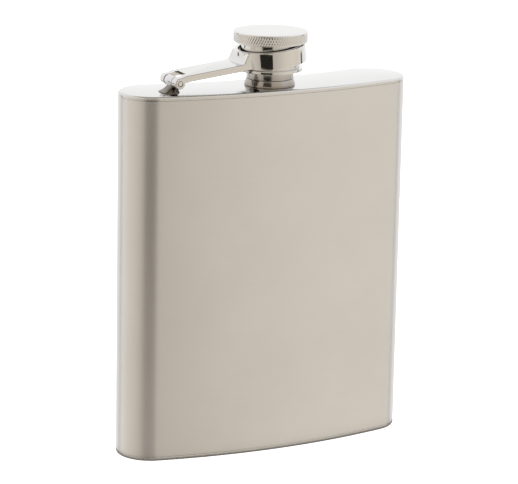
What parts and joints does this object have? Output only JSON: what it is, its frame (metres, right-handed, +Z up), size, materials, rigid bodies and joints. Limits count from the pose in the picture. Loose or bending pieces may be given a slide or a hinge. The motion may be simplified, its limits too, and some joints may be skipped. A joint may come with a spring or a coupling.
{
  "type": "hip flask",
  "caption": "Bent, flat steel hip flask with a satin body, polished neck, and a knurled screw cap held in the ring of a hinged arm.",
  "frame": {"origin": "middle of the flat base, under the neck's axis", "axes": "+Z up through the neck, +X across the width away from the hinge, -Y out of the convex front"},
  "size_m": [0.095, 0.0258, 0.1299],
  "materials": {
    "satin_steel": "satin, fine vertical grain",
    "plate_steel": "bright, lightly polished",
    "polished_steel": "mirror polished",
    "liner_plastic": "moulded, matt",
    "gasket_silicone": "soft, matt"
  },
  "bodies": {
    "flask": {"body_tube": "satin_steel", "top_plate": "plate_steel", "bottom_plate": "plate_steel", "neck_collar": "polished_steel", "neck": "polished_steel", "hinge_bracket": "polished_steel"},
    "arm": {"captive_arm": "polished_steel", "hinge_pin": "polished_steel"},
    "cap": {"cap_shell": "polished_steel", "cap_flange": "polished_steel", "cap_liner": "liner_plastic", "cap_gasket": "gasket_silicone"}
  },
  "joints": [
    {"name": "arm_swing", "type": "hinge", "parent": "flask", "child": "arm", "pos_m": [-0.0325, 0, 0.1166], "axis": [0, -1, 0], "range_deg": [0, 175]},
    {"name": "cap_spin", "type": "hinge", "parent": "arm", "child": "cap", "pos_m": [0, 0, 0.12272], "axis": [0, 0, 1], "continuous": true}
  ]
}
